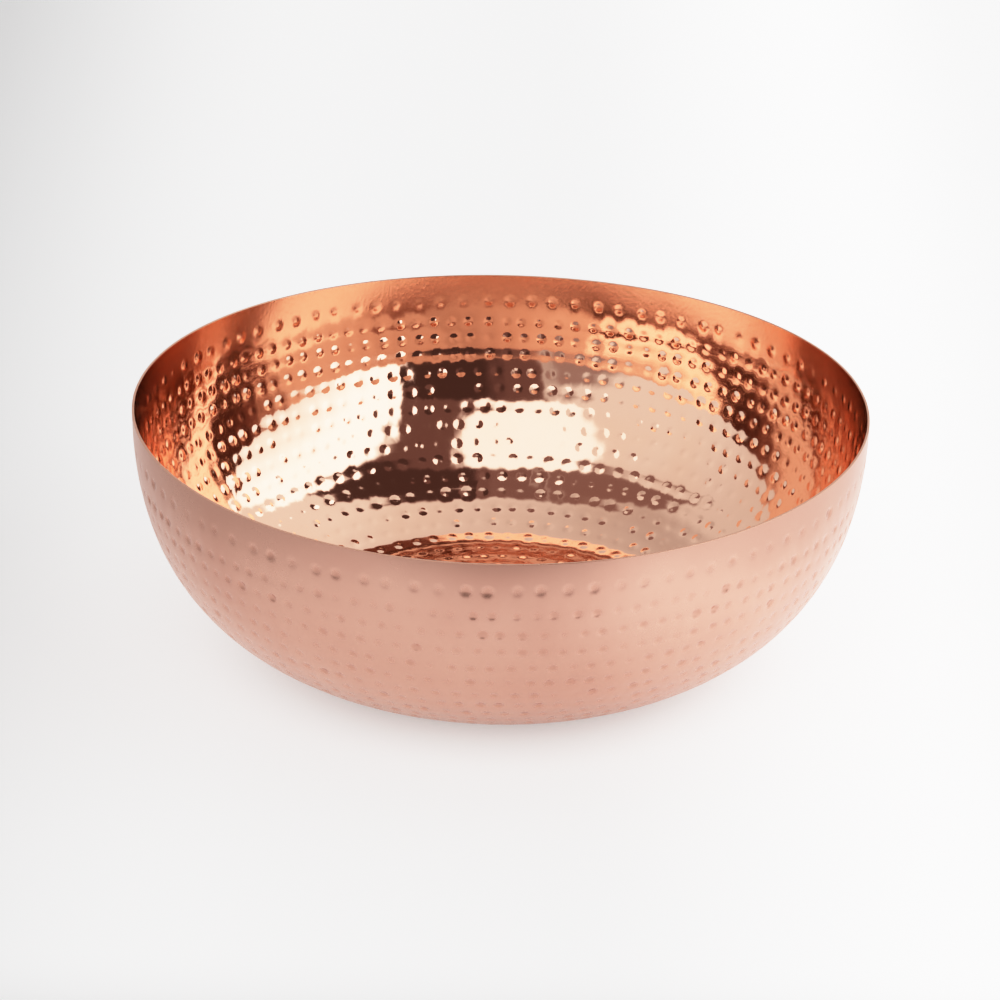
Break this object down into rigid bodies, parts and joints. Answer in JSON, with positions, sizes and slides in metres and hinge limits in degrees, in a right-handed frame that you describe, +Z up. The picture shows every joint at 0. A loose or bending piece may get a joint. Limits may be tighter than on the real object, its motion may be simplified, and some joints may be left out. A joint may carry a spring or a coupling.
{
  "type": "hammered copper bowl",
  "caption": "Wide round copper bowl with a plain cut rim, curved walls and a flat base, its surface covered in rings of small hammer marks.",
  "frame": {"origin": "centre of the flat base's underside, on the surface the bowl stands on", "axes": "+Z up through the middle of the mouth. The rim's highest points are at +X and -X, its lowest at +Y and -Y"},
  "size_m": [0.3, 0.3, 0.1022],
  "materials": {
    "copper": "hammered copper sheet, polished inside and satin outside"
  },
  "bodies": {
    "root": {"bowl_shell": "copper"}
  },
  "joints": []
}
